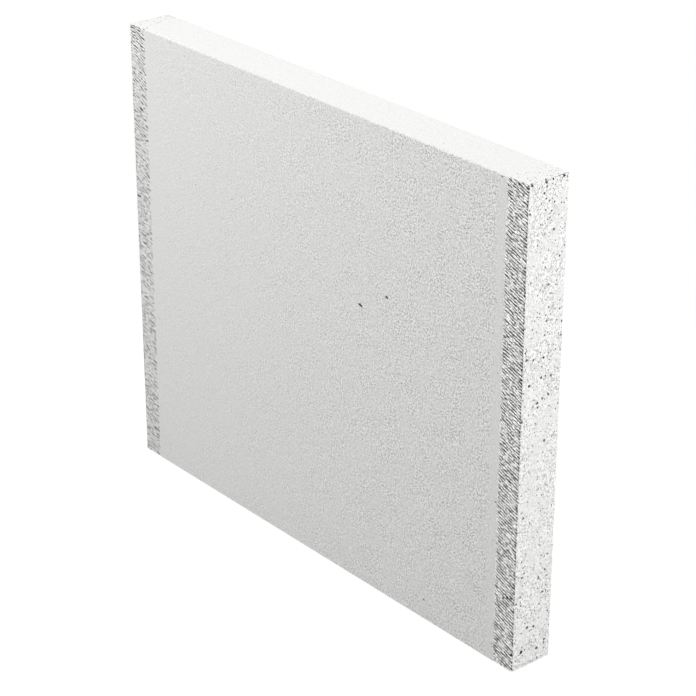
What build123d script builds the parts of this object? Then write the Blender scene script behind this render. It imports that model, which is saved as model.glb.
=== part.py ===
from build123d import *

import os

# Thin partition block of autoclaved aerated concrete, cast and wire-cut as one piece.
# It stands on its bed face as it is laid: the origin is the middle of that face,
# +X runs along the block, +Y through its thickness and +Z up. Sizes are in millimetres.

# Overall size of one block: a 600 x 500 module less its thin mortar joint
length = 599.0
height = 499.0
thickness = 50.0

# Raw bands round both ends, where the cutting wire's marks were left unsmoothed
band_width = 27.0
band_setback = 0.5

# Arrises, hardly touched along the smoothed faces and worn back round the raw bands and the ends
smoothed_arris = 0.8
worn_arris = 1.5


def standing_block(x_size, y_size, foot):
    """Square-edged block over the origin, its foot and its head the same distance inside the height."""
    return Pos(0, 0, height / 2) * Box(x_size, y_size, height - 2 * foot)


def raw_block():
    """Block of full length as the wire leaves it: inside the smoothed faces, every arris worn back."""
    block = standing_block(length, thickness - 2 * band_setback, band_setback)
    return chamfer(block.edges(), worn_arris)


def smoothed_stretch():
    """Stretch between the bands, trowelled flat to the full section, its long arrises lightly taken off."""
    block = standing_block(length - 2 * band_width, thickness, 0)
    return chamfer(block.edges().filter_by(Axis.X), smoothed_arris)


aerated_concrete_block = smoothed_stretch() + raw_block()
aerated_concrete_block.label = "aerated_concrete_block"

os.makedirs("parts", exist_ok=True)
export_step(aerated_concrete_block, "parts/aerated_concrete_block.step")
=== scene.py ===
import math
import random
from types import SimpleNamespace

import bmesh
import bpy
from mathutils import Euler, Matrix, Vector, noise


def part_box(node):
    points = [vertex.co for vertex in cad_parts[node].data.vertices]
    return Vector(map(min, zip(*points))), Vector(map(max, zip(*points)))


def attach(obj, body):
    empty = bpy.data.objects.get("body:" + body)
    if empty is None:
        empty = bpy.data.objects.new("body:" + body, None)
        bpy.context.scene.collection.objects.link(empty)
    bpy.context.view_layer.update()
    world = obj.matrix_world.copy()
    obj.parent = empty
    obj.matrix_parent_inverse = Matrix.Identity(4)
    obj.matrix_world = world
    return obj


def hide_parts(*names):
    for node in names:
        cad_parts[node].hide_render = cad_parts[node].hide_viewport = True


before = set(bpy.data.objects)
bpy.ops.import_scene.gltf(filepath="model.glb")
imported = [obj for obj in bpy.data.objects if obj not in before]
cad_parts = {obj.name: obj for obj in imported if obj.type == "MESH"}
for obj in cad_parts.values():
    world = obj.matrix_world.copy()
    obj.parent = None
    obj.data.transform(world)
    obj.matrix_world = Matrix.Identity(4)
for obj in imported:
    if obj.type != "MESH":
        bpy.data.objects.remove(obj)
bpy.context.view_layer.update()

# The block's box, from the frame. All sizes are in metres.
MM = 0.001
low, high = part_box("aerated_concrete_block")
length = high.x - low.x
thickness = high.y - low.y
height = high.z - low.z
half_length = length / 2
half_thickness = thickness / 2

# Raw bands round both ends, as in the solid, and how softly and how far their inner edges stray
band_width = 27 * MM
band_inner = half_length - band_width
band_edge = 0.8 * MM
band_fray = 1.6 * MM
band_fray_size = 2.4 * MM

# Where each band's edge takes its pattern, one side or the other
fray_apart = 9

# Arrises, and how far the relief keeps off the bottom and the top
arris = 0.9 * MM
arris_reach = 3 * MM
arris_keep = 0.2 * MM
top_reach = 1.5 * MM
bottom_reach = 3 * MM
least_relief = 0.2

# Rows and columns that the relief needs, and the plain strip inside each band where they end
guard_line = band_inner - 3 * MM
guard_width = 1.5 * MM
band_columns = 14
end_columns = 9
row_groups = 86
rows_in_group = 10

# An edge runs along an axis if this share of its length does
straight_share = 0.999

# Height at the bottom and the top over which the rows come to their slant
slant_fade = 25 * MM

# Wire marks: how far they fall to the right, and on each band their pitch, depth and waver
mark_slant = math.radians(20)
left_pitch, left_depth, left_waver = 3.4 * MM, 1.2 * MM, 0.7
right_pitch, right_depth, right_waver = 3.3 * MM, 1.6 * MM, 0.35
waver_size = 6 * MM

# Their profile: how wide they are at the block's top and bottom, and how far they lean
top_width, bottom_width = 0.05, 0.25
mark_lean = 0.7

# Their strokes: how long they run, where their pattern starts, and how strong they are
stroke_length = 4 * MM
stroke_start = 31
stroke_least, stroke_usual, stroke_change = 0.2, 0.75, 1.5

# Torn grain: how deep it is pressed in, and the size of its lumps along, through and up
band_grain_depth, band_lumps = 0.4 * MM, (5 * MM, 4 * MM, 2 * MM)
end_grain_depth, end_lumps = 0.25 * MM, (3 * MM, 4 * MM, 2.5 * MM)
arris_wear, arris_lumps = 0.9 * MM, (3 * MM, 3 * MM, 2.2 * MM)
grain_deep, grain_flat = 0.3, 0.7

# The grain's pattern starts off the block's own planes
pattern_origin = (0.0137, 0.0173, 0.0211)

# Pits that show in the photograph. On the front face: place along and up, half width, height and lean.
front_pits = [
    (74.4, 306.7, 3.6, 1.6, 15), (113.0, 328.3, 2.4, 1.5, 15), (262.1, 377.9, 1.9, 0.7, 20),
    (262.8, 375.2, 1.6, 0.6, 20), (237.4, 462.4, 1.0, 0.8, 0), (225.3, 434.7, 1.0, 0.8, 0),
    (259.8, 342.8, 1.0, 0.8, 0), (289.7, 79.2, 2.3, 1.8, 20), (294.8, 80.2, 1.5, 1.3, 20),
    (284.2, 75.7, 1.7, 1.3, 20), (287.8, 363.2, 1.2, 1.0, 0), (298.0, 320.0, 1.8, 1.2, 20),
    (297.6, 308.8, 2.6, 1.3, 20), (298.2, 448.0, 1.6, 1.2, 20), (298.4, 494.5, 1.4, 1.2, 0),
    (296.7, 18.3, 2.1, 1.5, -20), (172.4, 21.8, 2.0, 1.1, 25), (197.8, 142.5, 1.6, 0.9, 20),
    (270.0, 173.5, 1.9, 0.9, 20), (232.8, 131.9, 1.1, 0.8, 0), (218.3, 39.2, 1.5, 0.7, 10),
    (240.0, 107.2, 1.4, 0.8, 30), (233.0, 77.8, 1.0, 0.8, 0), (266.1, 496.6, 1.8, 0.8, 15),
    (298.0, 393.0, 1.6, 1.2, 20),
]
# On the right end: place through and up, and radius.
end_pits = [
    (-5.3, 486.0, 1.3), (7.5, 475.2, 1.2), (-15.5, 301.9, 1.6), (-4.3, 281.3, 1.6), (-3.5, 276.6, 1.4),
    (1.8, 284.2, 1.3), (11.7, 304.6, 1.4), (-14.1, 357.4, 1.0), (-11.5, 326.3, 1.1), (-21.5, 336.6, 1.1),
    (6.0, 92.8, 1.5), (12.1, 75.9, 1.5), (-16.1, 71.1, 1.3), (-1.4, 57.1, 1.1), (2.0, 41.4, 1.5),
    (-6.3, 43.1, 1.7), (-9.5, 48.9, 1.0), (17.1, 21.1, 1.5), (17.2, 16.7, 1.2), (7.3, 14.9, 1.8),
    (-13.2, 18.3, 2.2), (-12.1, 23.3, 1.2), (-16.1, 16.0, 1.1), (8.3, 3.7, 1.2), (20.2, 51.6, 1.2),
    (-20.3, 496.6, 1.4), (-3.2, 496.2, 1.7), (-2.6, 491.8, 1.2), (5.0, 496.8, 1.3), (18.4, 496.8, 1.6),
    (22.6, 495.4, 1.2), (4.5, 467.0, 1.1),
]
# On the top bed: place along and through, and radius.
top_pits = [(176.9, -13.1, 1.2), (224.4, -3.2, 0.7), (192.1, 11.2, 0.7)]
# Chips out of the right end's arrises: place through and up, and radius.
end_chips = [
    (-25.0, 0.4, 2.2), (-25.0, 18.1, 1.2), (-25.0, 22.0, 1.6), (-25.0, 320.3, 1.9), (-25.0, 309.5, 2.2),
    (-25.0, 448.1, 1.8), (-25.0, 497.0, 1.8), (-20.3, 499.0, 1.8), (-3.2, 499.0, 2.0), (3.0, 499.0, 1.4),
    (18.4, 499.0, 2.0), (-25.0, 424.9, 1.5), (-25.0, 410.8, 1.7), (-25.0, 396.2, 2.1), (-25.0, 287.1, 1.5),
    (-25.0, 256.0, 1.6), (-25.0, 182.4, 1.4), (-25.0, 151.7, 1.9), (-25.0, 82.9, 1.7), (-25.0, 58.5, 1.4),
]
# Chips out of the left end's top arris: place through, and radius.
left_chips = [(-22.5, 1.6), (-14.0, 2.0), (-6.5, 1.5), (1.5, 1.9), (9.0, 1.4), (16.0, 1.8), (23.0, 1.7)]

# Shapes of those pits and chips, as shares of their height or radius, and how far they are turned
front_pit_depth = 2.5
end_pit_shape = Vector((2.5, 1.0, 0.95))
end_chip_shape = Vector((1.0, 1.0, 0.8))
left_chip_shape = Vector((1.4, 1.0, 0.9))
top_pit_shape = Vector((1.2, 0.9, 1.2))
pit_turn = 1

# Scattered pores: how many on each end, on each bed's band and on the back, their sizes and their spread
end_pores, bed_pores, back_pores = 130, 16, 10
pore_radii = (0.6, 0.7, 0.8, 0.9, 1.1, 1.4)
pore_squash = (0.8, 1.25)
pore_turn = 1.5
pore_gap = 0.6 * MM
through_spread = 0.95
end_spread = (0.01, 0.99)
back_spread = (0.02, 0.98)

# Points nearer than this are one point once the pores are cut, and edges flatter than this are smooth
merge_distance = 0.005 * MM
smooth_angle = math.radians(40)

# Concrete: its colour and finish, a painted highlight on the bands' crests, its tone on the ends, and painted
# shade down in the marks and pits
concrete_colour = (0.86, 0.86, 0.848)
concrete_roughness = 0.95
concrete_gloss = 0.2
crest_highlight_tones = (0.96, 1.12)
end_tone = 1.04
painted_shade_depths = (0.5 * MM, 1.0 * MM)
painted_shade_tone = 0.1

# How deep the ends and the beds reach in the material, and how soft the bands' inner edges are
end_skin = (0.5 * MM, 1.0 * MM)
bed_skin = (0.2 * MM, 0.6 * MM)
band_blur = 1 * MM

# Fine grain: its size, its strength from left to right, on the beds, on the ends and beside the bands
grain_size = 1.8 * MM
grain_strengths = (0.5, 1.6)
bed_strength = 0.3
end_strengths = (0.7, 1.75)
strip_strength = 0.35
strip_width = 8 * MM
strip_stray = 14 * MM

# Patches of stronger and weaker grain
patch_size = 22 * MM
patch_limits = (0.4, 0.6)
patch_strengths = (0.75, 1.25)

# Streaks drawn out along the wire marks: their size, their stretch and their strength from left to right
streak_size = 0.85 * MM
streak_stretch = 2.5
streak_strengths = (0.8, 1.9)

# Small pores of the material: their spacing, smallest and largest radius, how dark their painted shade is and
# how deep they are
sawn_pore_sizes = (2.8 * MM, 0.2 * MM, 1.2 * MM)
pinhole_sizes = (8 * MM, 0.3 * MM, 0.9 * MM)
pinhole_share = 0.75
pore_rim = 0.5
pore_painted_shade = 0.85
bump_depth = 0.5 * MM

# Floor and room
floor_size = 12
floor_bounce = 0.4
floor_shading = 0.3
floor_glow = 0.78
floor_fade = (0.4, 0.8)
room_light = 0.2

# Lamps: place, width and power in watts
lamp_target = Vector((0, 0, height / 2))
lamps = {
    "side_lamp": ((1.9, -0.1, 0.9), 1.0, 22),
    "front_lamp": ((-0.9, -1.4, 1.8), 1.0, 36.5),
    "back_lamp": ((0.2, 1.2, 1.8), 1.0, 13.4),
    "low_back_lamp": ((0.0, 1.8, 0.3), 0.4, 9),
    "left_lamp": ((-1.9, 0.3, 0.3), 0.4, 5),
}

# Camera
camera_azimuth = math.radians(50.16)
camera_elevation = math.radians(25.36)
camera_distance = 2.343
camera_target = Vector((0.026, 0.0, 0.236))
camera_lens = 121.45
camera_sensor = 36

# Random draws are seeded, so each run gives the same block
draw = random.Random(5)


def smooth_step(value, start, end):
    """0 before start, 1 after end, and an even curve between them."""
    share = min(1.0, max(0.0, (value - start) / (end - start)))
    return share * share * (3 - 2 * share)


def pick_only(piece):
    """Selects one object alone and makes it the active one."""
    bpy.ops.object.select_all(action="DESELECT")
    piece.select_set(True)
    bpy.context.view_layer.objects.active = piece


def select_edges_along(mesh, axis, start, end):
    """In edit mode, selects the edges that run along an axis with their middle between two places on it."""
    cage = bmesh.from_edit_mesh(mesh)
    for edge in cage.edges:
        run = edge.verts[1].co - edge.verts[0].co
        middle = (edge.verts[0].co[axis] + edge.verts[1].co[axis]) / 2
        edge.select_set(abs(run[axis]) > straight_share * run.length and start < middle < end)
    bmesh.update_edit_mesh(mesh)


def cut_along(mesh, axis, start, end, pieces):
    """Cuts every edge along an axis between two places into that many pieces, and the faces with them."""
    bpy.ops.mesh.select_all(action="DESELECT")
    select_edges_along(mesh, axis, start, end)
    bpy.ops.mesh.subdivide(number_cuts=pieces - 1)


def cut_blank():
    """A block of the solid's size with its arrises taken off, cut into rows and columns."""
    bpy.ops.object.select_all(action="DESELECT")
    bpy.ops.mesh.primitive_cube_add(size=1, location=(low + high) / 2)
    block = bpy.context.object
    block.name = "block"
    bpy.ops.transform.resize(value=high - low)
    bpy.ops.object.transform_apply(location=True, rotation=True, scale=True)
    bpy.ops.object.mode_set(mode="EDIT")
    bpy.ops.mesh.select_mode(type="EDGE")
    bpy.ops.mesh.select_all(action="SELECT")
    bpy.ops.mesh.bevel(offset=arris, segments=1, affect="EDGES")
    for place in (guard_line, guard_line - guard_width):
        for side in (-1, 1):
            bpy.ops.mesh.select_all(action="SELECT")
            bpy.ops.mesh.bisect(plane_co=(side * place, 0, 0), plane_no=(1, 0, 0))
    cut_along(block.data, 0, guard_line, half_length - arris, band_columns)
    cut_along(block.data, 0, arris - half_length, -guard_line, band_columns)
    cut_along(block.data, 1, -half_thickness, half_thickness, end_columns)
    cut_along(block.data, 2, arris, height - arris, row_groups)
    cut_along(block.data, 2, arris, height - arris, rows_in_group)
    bpy.ops.object.mode_set(mode="OBJECT")
    return block


def slant_rows(block):
    """Lets the rows of the bands fall to the right with the wire marks."""
    for vertex in block.data.vertices:
        x, z = vertex.co.x, vertex.co.z
        past = abs(x) - guard_line
        if past > 0:
            keep = min(1.0, z / slant_fade, (height - z) / slant_fade)
            vertex.co.z -= math.copysign(past, x) * math.tan(mark_slant) * keep


def face_depths(place):
    """How far a place lies inside the ends, the broad faces and the bed faces."""
    return half_length - abs(place.x), half_thickness - abs(place.y), min(place.z, height - place.z)


def across_marks(place):
    """How far up a place lies, counted across the slanted wire marks."""
    return place.z + place.x * math.tan(mark_slant)


def raw_share(place):
    """0 on the smoothed faces and 1 on the raw bands, whose inner edges stray with the wire marks."""
    side = math.copysign(fray_apart, place.x)
    spot = Vector((side, place.y / band_fray_size / 2, across_marks(place) / band_fray_size))
    past = abs(place.x) - band_inner + noise.noise(spot) * band_fray
    return smooth_step(past, -band_edge, band_edge)


def wire_mark(place):
    """How deep the wire has marked a place: wavering rows of short strokes that come and go."""
    if place.x > 0:
        pitch, depth, row_waver = right_pitch, right_depth, right_waver
    else:
        pitch, depth, row_waver = left_pitch, left_depth, left_waver
    across = across_marks(place)
    waver = noise.noise(Vector((place.x, place.y, across)) / waver_size)
    turn = math.tau * (across / pitch + row_waver * waver)
    row = math.cos(turn + mark_lean * math.cos(turn))
    spot = Vector((place.x / stroke_length + stroke_start, place.y / stroke_length, across / pitch))
    strength = min(1.0, max(stroke_least, stroke_usual + stroke_change * noise.noise(spot)))
    width = bottom_width + (top_width - bottom_width) * place.z / height
    return depth * strength * max(0.0, row + width) / (1 + width)


def mark_groups(block):
    """Names the points that each kind of relief works on: wire marks, raw bands, ends and arrises."""
    groups = {name: block.vertex_groups.new(name=name) for name in ("marks", "bands", "ends", "arrises")}
    for vertex in block.data.vertices:
        depths = face_depths(vertex.co)
        raw = raw_share(vertex.co)
        on_end = 1.0 if depths[0] < arris / 2 else 0.0
        near_arris = max(0.0, 1 - sorted(depths)[1] / arris_reach)
        off_bottom = smooth_step(vertex.co.z, arris_keep, bottom_reach)
        off_top = smooth_step(height - vertex.co.z, arris_keep, top_reach)
        relief = least_relief + (1 - least_relief) * min(off_bottom, off_top)
        on_band = raw * (1 - on_end) * relief
        shares = {
            "marks": on_band * wire_mark(vertex.co) / right_depth,
            "bands": on_band,
            "ends": on_end,
            "arrises": near_arris * raw,
        }
        for name, share in shares.items():
            groups[name].add([vertex.index], share, "REPLACE")


def torn_grain():
    """A cloudy pattern of lumps, one unit across, that is deep between them."""
    texture = bpy.data.textures.new("torn_grain", "CLOUDS")
    texture.noise_basis = "IMPROVED_PERLIN"
    texture.noise_scale = 1.0
    texture.noise_depth = 0
    texture.use_color_ramp = True
    for stop, place, shade in zip(texture.color_ramp.elements, (grain_deep, grain_flat), (1, 0)):
        stop.position = place
        stop.color = (shade, shade, shade, 1)
    return texture


def press_in(block, group, depth, lumps=None):
    """Presses a group of points in by a depth, all over or between grainy lumps of a size."""
    relief = block.modifiers.new(group, "DISPLACE")
    relief.vertex_group = group
    relief.strength = -depth
    relief.mid_level = 0.0
    if lumps:
        bpy.ops.object.select_all(action="DESELECT")
        bpy.ops.object.empty_add(location=pattern_origin)
        guide = bpy.context.object
        guide.scale = lumps
        relief.texture = torn_grain()
        relief.texture_coords = "OBJECT"
        relief.texture_coords_object = guide
        bpy.context.view_layer.update()
    pick_only(block)
    bpy.ops.object.modifier_apply(modifier=relief.name)
    if lumps:
        bpy.data.objects.remove(guide)
        bpy.data.textures.remove(bpy.data.textures["torn_grain"])


def roughen(block):
    """Wire marks and a torn grain on the bands, a fine grain on the ends, and worn arrises."""
    press_in(block, "marks", right_depth)
    press_in(block, "bands", band_grain_depth, band_lumps)
    press_in(block, "ends", end_grain_depth, end_lumps)
    press_in(block, "arrises", arris_wear, arris_lumps)


def any_turn(limit):
    """A random angle up to a limit either way."""
    return draw.uniform(-limit, limit)


def shown_pores():
    """The pits and chips that show, each as its middle, its half sizes and its turn."""
    pores = []
    for along, up, wide, tall, lean in front_pits:
        middle = Vector((along * MM, -half_thickness, up * MM))
        size = Vector((wide, front_pit_depth * tall, tall)) * MM
        pores.append((middle, size, Euler((0, math.radians(lean), 0))))
    for places, shape in ((end_pits, end_pit_shape), (end_chips, end_chip_shape)):
        for through, up, radius in places:
            middle = Vector((half_length, through * MM, up * MM))
            pores.append((middle, shape * radius * MM, Euler((any_turn(pit_turn), 0, 0))))
    for through, radius in left_chips:
        middle = Vector((-half_length, through * MM, height))
        pores.append((middle, left_chip_shape * radius * MM, Euler((0, 0, any_turn(pit_turn)))))
    for along, through, radius in top_pits:
        middle = Vector((along * MM, through * MM, height))
        pores.append((middle, top_pit_shape * radius * MM, Euler((0, 0, any_turn(pit_turn)))))
    return pores


def scatter(pores, count, throw):
    """Adds pores of random size at random places, clear of each other and of those already there."""
    added = 0
    while added < count:
        place = throw()
        radius = draw.choice(pore_radii) * MM
        if all((place - other).length > radius + max(size) + pore_gap for other, size, turn in pores):
            turn = Euler([any_turn(pore_turn) for axis in range(3)])
            size = Vector([radius * draw.uniform(*pore_squash) for axis in range(3)])
            pores.append((place, size, turn))
            added += 1


def all_pores():
    """The pores that show, then scattered ones on the ends, on the beds' bands and on the back."""
    pores = shown_pores()
    for side in (-1, 1):
        scatter(pores, end_pores, lambda: Vector((
            side * half_length,
            draw.uniform(-through_spread, through_spread) * half_thickness,
            draw.uniform(*end_spread) * height)))
        for bed in (0, height):
            scatter(pores, bed_pores, lambda: Vector((
                side * draw.uniform(band_inner, half_length),
                draw.uniform(-through_spread, through_spread) * half_thickness,
                bed)))
    scatter(pores, back_pores, lambda: Vector((
        draw.uniform(-1, 1) * band_inner,
        half_thickness,
        draw.uniform(*back_spread) * height)))
    return pores


def pore_lumps(pores):
    """One joined mesh of small rounded lumps, one for each pore."""
    bpy.ops.object.select_all(action="DESELECT")
    bpy.ops.mesh.primitive_ico_sphere_add(subdivisions=2, radius=1)
    lumps = bpy.context.object
    shape = [vertex.co.copy() for vertex in lumps.data.vertices]
    sides = [list(face.vertices) for face in lumps.data.polygons]
    points = []
    faces = []
    for middle, size, turn in pores:
        first = len(points)
        spin = turn.to_matrix()
        points += [middle + spin @ Vector([c * s for c, s in zip(point, size)]) for point in shape]
        faces += [[first + corner for corner in side] for side in sides]
    lumps.data.clear_geometry()
    lumps.data.from_pydata(points, [], faces)
    return lumps


def cut_pores(block, pores):
    """Cuts the pores out of the block and joins the points that the cut leaves side by side."""
    lumps = pore_lumps(pores)
    cut = block.modifiers.new("pores", "BOOLEAN")
    cut.operation = "DIFFERENCE"
    cut.solver = "MANIFOLD"
    cut.object = lumps
    pick_only(block)
    bpy.ops.object.modifier_apply(modifier=cut.name)
    bpy.data.objects.remove(lumps)
    bpy.ops.object.mode_set(mode="EDIT")
    bpy.ops.mesh.select_all(action="SELECT")
    bpy.ops.mesh.remove_doubles(threshold=merge_distance)
    bpy.ops.object.mode_set(mode="OBJECT")


def link(tree, source, target):
    """Joins one node's output socket to another node's input socket."""
    tree.links.new(source, target)


def feed(tree, socket, value):
    """Gives a node's input a plain number or another node's output."""
    if isinstance(value, (int, float)):
        socket.default_value = value
    else:
        link(tree, value, socket)


def work_out(tree, operation, first, second=0.0):
    """One Math node on two numbers or outputs."""
    node = tree.nodes.new("ShaderNodeMath")
    node.operation = operation
    feed(tree, node.inputs[0], first)
    feed(tree, node.inputs[1], second)
    return node.outputs[0]


def fade(tree, value, start, end, before=0.0, after=1.0):
    """A value that goes evenly from before, at start, to after, at end."""
    node = tree.nodes.new("ShaderNodeMapRange")
    node.interpolation_type = "SMOOTHSTEP"
    settings = {"Value": value, "From Min": start, "From Max": end, "To Min": before, "To Max": after}
    for name, setting in settings.items():
        feed(tree, node.inputs[name], setting)
    return node.outputs[0]


def mix(tree, share, first, second):
    """First where the share is 0 and second where it is 1."""
    node = tree.nodes.new("ShaderNodeMix")
    feed(tree, node.inputs["Factor"], share)
    feed(tree, node.inputs["A"], first)
    feed(tree, node.inputs["B"], second)
    return node.outputs["Result"]


def cloudy(tree, place, size, detail=0.0):
    """Even noise from 0 to 1, about 0.5, with lumps of a size."""
    node = tree.nodes.new("ShaderNodeTexNoise")
    link(tree, place, node.inputs["Vector"])
    node.inputs["Scale"].default_value = 1 / size
    node.inputs["Detail"].default_value = detail
    return node.outputs["Fac"]


def ups_and_downs(tree, place, size, detail=0.0):
    """Even noise about 0, with lumps of a size."""
    return work_out(tree, "SUBTRACT", cloudy(tree, place, size, detail), 0.5)


def round_pores(tree, place, spacing, smallest, largest):
    """1 inside round pores of mixed sizes strewn at a spacing, and 0 between them."""
    node = tree.nodes.new("ShaderNodeTexVoronoi")
    link(tree, place, node.inputs["Vector"])
    node.inputs["Scale"].default_value = 1 / spacing
    reach = work_out(tree, "MULTIPLY", node.outputs["Distance"], spacing)
    chance = work_out(tree, "POWER", node.outputs["Color"], 2.0)
    radius = work_out(tree, "ADD", smallest, work_out(tree, "MULTIPLY", chance, largest - smallest))
    return fade(tree, reach, work_out(tree, "MULTIPLY", radius, pore_rim), radius, 1.0, 0.0)


def surface_parts(tree, place):
    """Where a point lies along the block, how deep under the faces, and on an end, a bed or a band."""
    split = tree.nodes.new("ShaderNodeSeparateXYZ")
    link(tree, place, split.inputs[0])
    along, up = split.outputs["X"], split.outputs["Z"]
    from_middle = work_out(tree, "ABSOLUTE", along)
    through = work_out(tree, "ABSOLUTE", split.outputs["Y"])
    from_end = work_out(tree, "SUBTRACT", half_length, from_middle)
    from_face = work_out(tree, "SUBTRACT", half_thickness, through)
    from_bed = work_out(tree, "MINIMUM", up, work_out(tree, "SUBTRACT", height, up))
    return SimpleNamespace(
        along=along,
        from_middle=from_middle,
        depth=work_out(tree, "MINIMUM", work_out(tree, "MINIMUM", from_end, from_face), from_bed),
        on_end=fade(tree, from_end, *end_skin, 1.0, 0.0),
        on_bed=fade(tree, from_bed, *bed_skin, 1.0, 0.0),
        on_band=fade(tree, from_middle, band_inner - band_blur, band_inner + band_blur),
    )


def from_left_to_right(tree, parts, left, right):
    """A value that goes evenly from one end of the block to the other."""
    return fade(tree, parts.along, -half_length, half_length, left, right)


def painted_highlight_and_shade(tree, parts):
    """Tone of each kind of face, with a painted highlight on the bands' crests and painted shade by depth,
    dark down in the marks and pits.
    """
    # Painted highlight: the bands' crests are paler in colour, more so on the right band.
    crest = mix(tree, parts.on_band, 1.0, from_left_to_right(tree, parts, *crest_highlight_tones))
    crest = mix(tree, parts.on_end, crest, end_tone)
    crest = mix(tree, parts.on_bed, crest, 1.0)
    # Painted shade: the colour darkens with depth under the faces, down in the marks, pits and chips.
    return work_out(tree, "MULTIPLY", crest, fade(tree, parts.depth, *painted_shade_depths, 1.0, painted_shade_tone))


def fine_grain(tree, place, parts):
    """Fine grain in patches: fainter to the left and beside the bands, faint on the beds."""
    patches = cloudy(tree, place, patch_size, 1.0)
    patchy = fade(tree, patches, *patch_limits, *patch_strengths)
    strength = work_out(tree, "MULTIPLY", from_left_to_right(tree, parts, *grain_strengths), patchy)
    strip = work_out(tree, "ADD", parts.from_middle, work_out(tree, "MULTIPLY", patches, strip_stray))
    beside_band = fade(tree, strip, band_inner - strip_width, band_inner, 1.0, strip_strength)
    strength = work_out(tree, "MULTIPLY", strength, mix(tree, parts.on_band, beside_band, 1.0))
    strength = mix(tree, parts.on_bed, strength, bed_strength)
    strength = mix(tree, parts.on_end, strength, fade(tree, patches, *patch_limits, *end_strengths))
    return work_out(tree, "MULTIPLY", ups_and_downs(tree, place, grain_size, 1.0), strength)


def streaky_grain(tree, place, parts):
    """A finer grain for the bands, drawn out along the wire marks."""
    drawn_out = tree.nodes.new("ShaderNodeMapping")
    drawn_out.vector_type = "TEXTURE"
    drawn_out.inputs["Rotation"].default_value = (0, mark_slant, 0)
    drawn_out.inputs["Scale"].default_value = (streak_stretch, streak_stretch, 1)
    link(tree, place, drawn_out.inputs["Vector"])
    streaks = ups_and_downs(tree, drawn_out.outputs["Vector"], streak_size)
    return work_out(tree, "MULTIPLY", streaks, from_left_to_right(tree, parts, *streak_strengths))


def small_pores(tree, place, parts):
    """Small pores, close together on the sawn ends and the beds' bands and few on the faces."""
    sawn = work_out(tree, "MAXIMUM", parts.on_end, work_out(tree, "MULTIPLY", parts.on_bed, parts.on_band))
    sawn_pores = work_out(tree, "MULTIPLY", round_pores(tree, place, *sawn_pore_sizes), sawn)
    off_bed = work_out(tree, "SUBTRACT", 1.0, parts.on_bed)
    pinholes = work_out(tree, "MULTIPLY", round_pores(tree, place, *pinhole_sizes), off_bed)
    return work_out(tree, "MAXIMUM", sawn_pores, work_out(tree, "MULTIPLY", pinholes, pinhole_share))


def aerated_concrete():
    """Pale matt concrete: fine grain all over, painted shade down in the marks and pits and in the small
    pores on the ends, a painted highlight on the bands' crests.
    """
    material = bpy.data.materials.new("aerated_concrete")
    material.use_nodes = True
    tree = material.node_tree
    shader = tree.nodes["Principled BSDF"]
    shader.inputs["Roughness"].default_value = concrete_roughness
    shader.inputs["Specular IOR Level"].default_value = concrete_gloss

    place = tree.nodes.new("ShaderNodeTexCoord").outputs["Object"]
    parts = surface_parts(tree, place)
    on_face = work_out(tree, "SUBTRACT", 1.0, work_out(tree, "MAXIMUM", parts.on_end, parts.on_bed))
    streaky = work_out(tree, "MULTIPLY", parts.on_band, on_face)
    grain = mix(tree, streaky, fine_grain(tree, place, parts), streaky_grain(tree, place, parts))
    pores = small_pores(tree, place, parts)

    tone = work_out(tree, "ADD", 1.0, grain)
    # Painted shade: the colour is darkened inside the small pores.
    tone = work_out(tree, "SUBTRACT", tone, work_out(tree, "MULTIPLY", pores, pore_painted_shade))
    colour = tree.nodes.new("ShaderNodeVectorMath")
    colour.operation = "SCALE"
    colour.inputs[0].default_value = concrete_colour
    link(tree, work_out(tree, "MULTIPLY", painted_highlight_and_shade(tree, parts), tone), colour.inputs["Scale"])
    link(tree, colour.outputs[0], shader.inputs["Base Color"])

    relief = work_out(tree, "SUBTRACT", grain, pores)
    bump = tree.nodes.new("ShaderNodeBump")
    bump.inputs["Distance"].default_value = 1.0
    link(tree, work_out(tree, "MULTIPLY", relief, bump_depth), bump.inputs["Height"])
    link(tree, bump.outputs[0], shader.inputs["Normal"])
    return material


def concrete_block():
    """The block: cut, marked, roughened, pitted and given its finish."""
    block = cut_blank()
    slant_rows(block)
    mark_groups(block)
    roughen(block)
    cut_pores(block, all_pores())
    bpy.ops.object.shade_smooth_by_angle(angle=smooth_angle)
    block.data.materials.clear()
    block.data.materials.append(aerated_concrete())
    return block


def seen_directly(tree):
    """1 where the camera sees a surface straight on, in a gloss or through glass, and 0 for its light."""
    path = tree.nodes.new("ShaderNodeLightPath")
    either = work_out(tree, "MAXIMUM", path.outputs["Is Camera Ray"], path.outputs["Is Glossy Ray"])
    return work_out(tree, "MAXIMUM", either, path.outputs["Is Transmission Ray"])


def grey_matt(tree, shade):
    """A plain matt shader of one shade."""
    matt = tree.nodes.new("ShaderNodeBsdfDiffuse")
    matt.inputs["Color"].default_value = (shade, shade, shade, 1)
    return matt.outputs[0]


def blend_shaders(tree, share, first, second):
    """The first shader where the share is 0 and the second where it is 1."""
    node = tree.nodes.new("ShaderNodeMixShader")
    link(tree, share, node.inputs["Fac"])
    link(tree, first, node.inputs[1])
    link(tree, second, node.inputs[2])
    return node.outputs[0]


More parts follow.
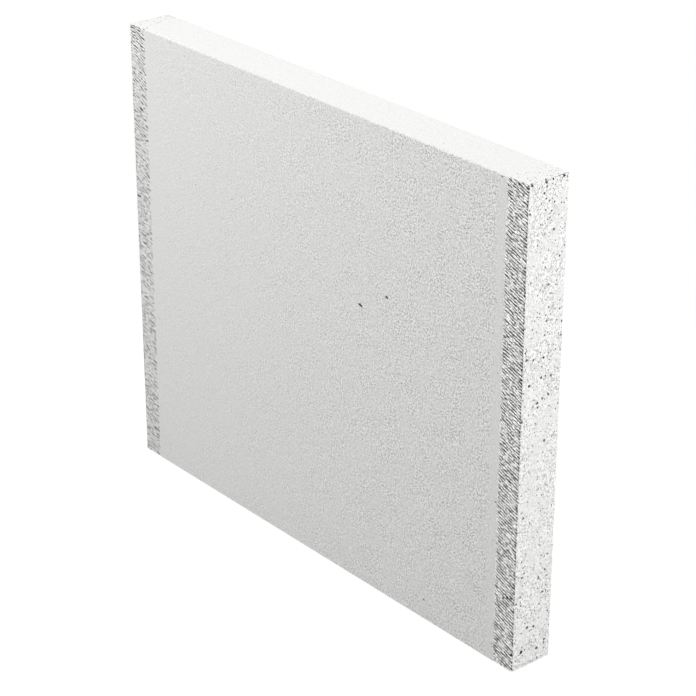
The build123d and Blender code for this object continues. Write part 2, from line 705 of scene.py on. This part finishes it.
def white_floor():
    """A plain white floor that takes a faint shadow round the block and throws little light back."""
    bpy.ops.object.select_all(action="DESELECT")
    bpy.ops.mesh.primitive_plane_add(size=floor_size)
    floor = bpy.context.object
    floor.name = "floor"
    material = bpy.data.materials.new("white_floor")
    material.use_nodes = True
    tree = material.node_tree
    tree.nodes.clear()
    glow = tree.nodes.new("ShaderNodeEmission")
    glow.inputs["Strength"].default_value = floor_glow
    near = tree.nodes.new("ShaderNodeAddShader")
    link(tree, grey_matt(tree, floor_shading), near.inputs[0])
    link(tree, glow.outputs[0], near.inputs[1])
    far = tree.nodes.new("ShaderNodeEmission")
    reach = tree.nodes.new("ShaderNodeVectorMath")
    reach.operation = "LENGTH"
    link(tree, tree.nodes.new("ShaderNodeTexCoord").outputs["Object"], reach.inputs[0])
    distance = fade(tree, reach.outputs["Value"], *floor_fade)
    white = blend_shaders(tree, distance, near.outputs[0], far.outputs[0])
    surface = blend_shaders(tree, seen_directly(tree), grey_matt(tree, floor_bounce), white)
    output = tree.nodes.new("ShaderNodeOutputMaterial")
    link(tree, surface, output.inputs["Surface"])
    floor.data.materials.append(material)


def white_room():
    """A white backdrop all round that gives only a low even light."""
    world = bpy.data.worlds.new("white_room")
    bpy.context.scene.world = world
    world.use_nodes = True
    tree = world.node_tree
    even = tree.nodes["Background"]
    even.inputs["Color"].default_value = (1, 1, 1, 1)
    even.inputs["Strength"].default_value = room_light
    white = tree.nodes.new("ShaderNodeBackground")
    white.inputs["Color"].default_value = (1, 1, 1, 1)
    surface = blend_shaders(tree, seen_directly(tree), even.outputs[0], white.outputs[0])
    link(tree, surface, tree.nodes["World Output"].inputs["Surface"])


def soft_lamp(name, place, size, power):
    """A square soft lamp turned to the block's middle."""
    bpy.ops.object.light_add(type="AREA", location=place)
    lamp = bpy.context.object
    lamp.name = name
    lamp.data.size = size
    lamp.data.energy = power
    lamp.rotation_euler = (Vector(place) - lamp_target).to_track_quat("Z", "Y").to_euler()


def photo_camera():
    """A camera at the photograph's viewing angle."""
    away = Vector((
        math.sin(camera_azimuth) * math.cos(camera_elevation),
        -math.cos(camera_azimuth) * math.cos(camera_elevation),
        math.sin(camera_elevation),
    ))
    bpy.ops.object.camera_add(location=camera_target + away * camera_distance)
    camera = bpy.context.object
    camera.rotation_euler = away.to_track_quat("Z", "Y").to_euler()
    camera.data.lens = camera_lens
    camera.data.sensor_width = camera_sensor
    return camera


block = concrete_block()
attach(block, "root")
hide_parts("aerated_concrete_block")

white_floor()
white_room()
for name, (place, size, power) in lamps.items():
    soft_lamp(name, place, size, power)
bpy.context.scene.camera = photo_camera()
bpy.context.scene.view_settings.view_transform = "Standard"
